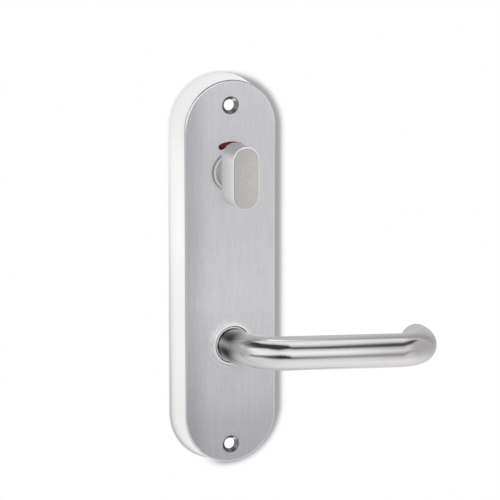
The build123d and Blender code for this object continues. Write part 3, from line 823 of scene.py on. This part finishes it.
def bright_stainless():
    """Collar, sleeve and base ring: turned flange, painted highlight on the lip and sleeve round the lever,
    painted shade on the wall round the turn.
    """
    material, tree = new_material("bright_stainless")
    place = object_place(tree)
    parts = axes(tree, place)
    turned = noise(tree, place, 500.0)
    flange = blend_colours(tree, noise_span(tree, turned), FLANGE_DARK, FLANGE_LIGHT)
    out = facing(tree)[1]
    # The collar's lip and the sleeve take a painted highlight, white and matt
    lit = calc(tree, "MAXIMUM", span(tree, out, 0.35, 0.75), near_axis(tree, parts, 0.0, SLEEVE_RADIUS))
    lip = times(tree, near_axis(tree, parts, 0.0, COLLAR_LIP_RADIUS), lit)
    ring = near_axis(tree, parts, TURN_Z, BASE_RING_RADIUS)
    bright = calc(tree, "MAXIMUM", lip, ring)
    colour = blend_colours(tree, bright, flange, LIP_COLOUR)
    # The base ring's face, and painted shade on its wall
    ring_colour = blend_colours(tree, span(tree, out, 0.8, 0.5), RING_FACE, RING_WALL)
    colour = blend_colours(tree, ring, colour, ring_colour)
    rough = noise_span(tree, turned, 0.28, 0.38)
    metallic = span(tree, bright, 0.0, 1.0, 0.5, 0.0)
    finish_surface(tree, colour, rough, turned, 0.002 * MM, metallic=metallic)
    return material


# How far the roughness of the plain materials goes either way
ROUGHNESS_SPREAD = 0.05


def plain_metal(name, dark, light, roughness, grain=900.0, depth=0.01 * MM):
    """Metal with one grain, in its colour, its gloss and its height."""
    material, tree = new_material(name)
    place = object_place(tree)
    fine = noise(tree, place, grain, detail=3.0, roughness=0.6)
    cloud = noise(tree, place, 70.0, detail=3.0)
    level = two_noises(tree, fine, 0.6, cloud)
    colour = blend_colours(tree, noise_span(tree, level), (*dark, 1), (*light, 1))
    rough = noise_span(tree, level, roughness - ROUGHNESS_SPREAD, roughness + ROUGHNESS_SPREAD)
    finish_surface(tree, colour, rough, fine, depth)
    return material


def plain_solid(name, dark, light, roughness):
    """Plastic or enamel with a fine grain in its colour, its gloss and its height."""
    material, tree = new_material(name)
    fine = noise(tree, object_place(tree), 600.0, detail=3.0)
    colour = blend_colours(tree, noise_span(tree, fine), (*dark, 1), (*light, 1))
    rough = noise_span(tree, fine, roughness - ROUGHNESS_SPREAD, roughness + ROUGHNESS_SPREAD)
    finish_surface(tree, colour, rough, fine, 0.01 * MM, metallic=0.0)
    return material


# Places of the turn's painted shades and light, in millimetres: across its face, up it, forwards along its
# side, and at its neck's front
TURN_ACROSS = (-8.0, 8.0)
TURN_UPWARD = (TURN_Z + 6, TURN_Z + 17)
TURN_FORWARD = (-(NECK_FRONT + 1), -(NECK_FRONT + 16))
NECK_EDGE = (-(NECK_FRONT + 0.4), -(NECK_FRONT - 0.4))

# The turn's colours: on its face, at the back and the front of its side, with painted light towards the
# front, in the side's patches, painted shade where that faces up, a painted highlight on its edge, a painted
# dark line inside the edge, and painted shade on its neck
TURN_FACE_DARK = (0.74, 0.715, 0.695, 1)
TURN_FACE_LIGHT = (0.875, 0.845, 0.82, 1)
TURN_SIDE_BACK = (0.72, 0.72, 0.71, 1)
TURN_SIDE_FRONT = (1.0, 1.0, 0.985, 1)
TURN_SIDE_PATCH = (0.82, 0.82, 0.81, 1)
TURN_SIDE_UP = (0.45, 0.445, 0.435, 1)
TURN_EDGE = (0.99, 0.985, 0.98, 1)
TURN_LINE = (0.50, 0.49, 0.48, 1)
TURN_NECK = (0.45, 0.45, 0.45, 1)


def blasted_face(tree, parts, both):
    """Colour of the turn's face: fine mottle, with painted shade a little darker to the left and at the top.
    """
    mottled = blend_colours(tree, span(tree, both, 0.36, 0.64), TURN_FACE_DARK, TURN_FACE_LIGHT)
    leftward = span_mm(tree, parts["X"], TURN_ACROSS, 0.13, -0.02)
    upward = span_mm(tree, parts["Z"], TURN_UPWARD, 0.0, 0.07)
    shade = calc(tree, "SUBTRACT", 1.0, calc(tree, "ADD", leftward, upward))
    return blend_colours(tree, shade, grey(0), mottled)


def blasted_side(tree, parts, normal, patches):
    """Colour of the turn's side: painted light towards the front, faint patches, and painted shade where it
    faces up.
    """
    forward = span_mm(tree, parts["Y"], TURN_FORWARD)
    side_light = blend_colours(tree, forward, TURN_SIDE_BACK, TURN_SIDE_FRONT)
    patched = span(tree, patches, 0.4, 0.6, 0.0, 0.25)
    side_light = blend_colours(tree, patched, side_light, TURN_SIDE_PATCH)
    return blend_colours(tree, span(tree, normal["Z"], 0.1, 0.6), side_light, TURN_SIDE_UP)


def blasted_stainless():
    """Privacy turn: fine blasted face, lighter sides and a bright edge between them, all with painted light
    and shade.
    """
    material, tree = new_material("blasted_stainless")
    place = object_place(tree)
    parts = axes(tree, place)
    grit = noise(tree, place, 2400.0, roughness=0.6)
    patches = noise(tree, place, 900.0, detail=3.0)
    face = blasted_face(tree, parts, two_noises(tree, grit, 0.6, patches))
    normal, out = facing(tree)
    side = span(tree, out, 0.5, 0.1, smooth=True)
    colour = blend_colours(tree, side, face, blasted_side(tree, parts, normal, patches))

    # The rounded edge has a painted highlight. To the right the whole of it is bright. To the left only its
    # front line is bright, and a painted dark line lies inside it.
    to_left = span(tree, normal["X"], -0.1, -0.3)
    whole_edge = times(tree, span(tree, out, 0.99, 0.93), span(tree, out, 0.05, 0.3))
    front_line = times(tree, span(tree, out, 0.85, 0.75), span(tree, out, 0.02, 0.1))
    edge = blend_colours(tree, to_left, whole_edge, front_line)
    dark_line = times(tree, span(tree, out, 0.998, 0.98), span(tree, out, 0.8, 0.9))
    colour = blend_colours(tree, edge, colour, TURN_EDGE)
    colour = blend_colours(tree, times(tree, dark_line, to_left), colour, TURN_LINE)
    # The neck, between the turn and its base ring, takes painted shade
    neck = span_mm(tree, parts["Y"], NECK_EDGE)
    colour = blend_colours(tree, neck, colour, TURN_NECK)
    rough = span(tree, edge, 0.0, 1.0, 0.42, 0.25)
    metallic = span(tree, calc(tree, "MAXIMUM", side, edge), 0.0, 1.0, 0.75, 0.15)
    finish_surface(tree, colour, rough, grit, 0.03 * MM, metallic=metallic)
    return material


# Plain materials: darkest and lightest colours and roughness
PLAIN_METALS = {
    "turned_steel": ((0.55, 0.55, 0.56), (0.66, 0.66, 0.67), 0.3),
    "zinc_plated_steel": ((0.62, 0.64, 0.67), (0.74, 0.76, 0.78), 0.28),
    "spring_steel": ((0.30, 0.29, 0.28), (0.40, 0.39, 0.38), 0.3),
}
PLAIN_SOLIDS = {
    "black_acetal": ((0.018, 0.018, 0.019), (0.03, 0.03, 0.031), 0.42),
    "white_ptfe": ((0.76, 0.76, 0.75), (0.84, 0.84, 0.83), 0.5),
    "red_enamel": ((0.20, 0.004, 0.008), (0.28, 0.008, 0.012), 0.3),
    "green_enamel": ((0.015, 0.17, 0.05), (0.02, 0.24, 0.07), 0.3),
}
ZINC_CASTING = ((0.42, 0.43, 0.45), (0.52, 0.53, 0.55), 0.5)

finishes = {
    "satin_stainless": satin_stainless(),
    "tube_stainless": tube_stainless(),
    "bright_stainless": bright_stainless(),
    "blasted_stainless": blasted_stainless(),
    "zinc_casting": plain_metal("zinc_casting", *ZINC_CASTING, grain=1500.0, depth=0.04 * MM),
}
for slot, look in PLAIN_METALS.items():
    finishes[slot] = plain_metal(slot, *look)
for slot, look in PLAIN_SOLIDS.items():
    finishes[slot] = plain_solid(slot, *look)

for part in frame["record"]["subparts"]:
    piece = nodes[part["node"]]
    piece.data.materials.clear()
    piece.data.materials.append(finishes[part["material_slot"]])


# Lever tube

TUBE_POINTS_AROUND = 96
TUBE_LIP_STEPS = 4


def tube_line():
    """Centre line of the tube: places in millimetres along the rest grip and outwards, and directions."""
    rows = []

    def straight(start, end, count):
        for i in range(count):
            share = i / count
            rows.append((start + (end - start) * share, (end - start).normalized()))

    def bend(centre, radius, start_angle, turn, count):
        sense = 1 if turn > 0 else -1
        for i in range(count):
            angle = start_angle + turn * i / count
            rows.append((
                centre + radius * Vector((cos(angle), sin(angle))),
                sense * Vector((-sin(angle), cos(angle))),
            ))

    straight(Vector((0, TUBE_ROOT)), Vector((0, GRIP_OUT - ROOT_BEND)), count=12)
    bend(Vector((ROOT_BEND, GRIP_OUT - ROOT_BEND)), ROOT_BEND, pi, -pi / 2, count=40)
    return_start = LEVER_LENGTH - RETURN_BEND
    straight(Vector((ROOT_BEND, GRIP_OUT)), Vector((return_start, GRIP_OUT)), count=40)
    bend(Vector((return_start, GRIP_OUT - RETURN_BEND)), RETURN_BEND, pi / 2, -pi / 2, count=44)
    straight(Vector((LEVER_LENGTH, GRIP_OUT - RETURN_BEND)), Vector((LEVER_LENGTH, TUBE_END)), count=4)
    rows.append((Vector((LEVER_LENGTH, TUBE_END)), Vector((0, -1))))
    return rows


def tube_rings():
    """Rings of the tube's skin, out along its outside and back along its bore.

    Each is a place and a direction on the centre line, a radius, and a shift along that direction.
    """
    rows = tube_line()
    root = rows[0]
    end = rows[-1]
    quarter = [pi / 2 * i / TUBE_LIP_STEPS for i in range(TUBE_LIP_STEPS + 1)]
    rings = []
    for angle in quarter[:-1]:
        radius = TUBE_RADIUS - TUBE_LIP + TUBE_LIP * sin(angle)
        rings.append((*root, radius, TUBE_LIP * (1 - cos(angle))))
    rings.append((*root, TUBE_RADIUS, TUBE_LIP))
    for row in rows[1:-1]:
        rings.append((*row, TUBE_RADIUS, 0.0))
    for angle in quarter:
        radius = TUBE_RADIUS - TUBE_LIP + TUBE_LIP * cos(angle)
        rings.append((*end, radius, -TUBE_LIP * (1 - sin(angle))))
    for angle in quarter:
        radius = TUBE_BORE + TUBE_LIP - TUBE_LIP * sin(angle)
        rings.append((*end, radius, -TUBE_LIP * (1 - cos(angle))))
    for row in reversed(rows[1:-1]):
        rings.append((*row, TUBE_BORE, 0.0))
    rings.append((*root, TUBE_BORE, 0.0))
    return rings


def make_lever_tube():
    """Closed tube with a soft lip at each end, laid out along its length for the grain."""
    grip = Vector((cos(REST_DROOP), 0, -sin(REST_DROOP)))
    out = Vector((0, -1, 0))
    side = grip.cross(out)
    mesh = bmesh.new()
    layout = mesh.loops.layers.uv.new("along_tube")
    lengths = [0.0]
    loops = []
    previous = None
    for place, direction, radius, shift in tube_rings():
        centre_flat = place + direction * shift
        centre = (grip * centre_flat.x + out * centre_flat.y) * MM
        across = side.cross(grip * direction.x + out * direction.y)
        loop = []
        for j in range(TUBE_POINTS_AROUND):
            angle = 2 * pi * j / TUBE_POINTS_AROUND
            loop.append(mesh.verts.new(centre + (across * cos(angle) + side * sin(angle)) * radius * MM))
        if loops:
            step = max((centre_flat - previous[0]).length, abs(radius - previous[1]))
            lengths.append(lengths[-1] + step)
        previous = (centre_flat, radius)
        loops.append(loop)
    # The last ring joins the first one, so its faces end one wall's thickness farther along
    lengths.append(lengths[-1] + TUBE_RADIUS - TUBE_BORE)
    loops.append(loops[0])
    for i in range(len(loops) - 1):
        for j in range(TUBE_POINTS_AROUND):
            k = (j + 1) % TUBE_POINTS_AROUND
            face = mesh.faces.new((loops[i][j], loops[i][k], loops[i + 1][k], loops[i + 1][j]))
            face.smooth = True
            corners = ((lengths[i], j), (lengths[i], j + 1), (lengths[i + 1], j + 1), (lengths[i + 1], j))
            for corner, (length, around) in zip(face.loops, corners):
                corner[layout].uv = (length / LAYOUT_MM, around / TUBE_POINTS_AROUND)
    bmesh.ops.recalc_face_normals(mesh, faces=mesh.faces)
    made = bmesh_object("lever_tube_satin", mesh, finishes["tube_stainless"])
    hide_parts("lever_tube")
    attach(made, "lever")
    return made


tube = make_lever_tube()
# The photograph has neither these pieces' shadows on the plate nor their images in the metal
for piece in (tube, nodes["lever_end_cap"], nodes["snib_knob"]):
    piece.visible_glossy = False
    piece.visible_shadow = False
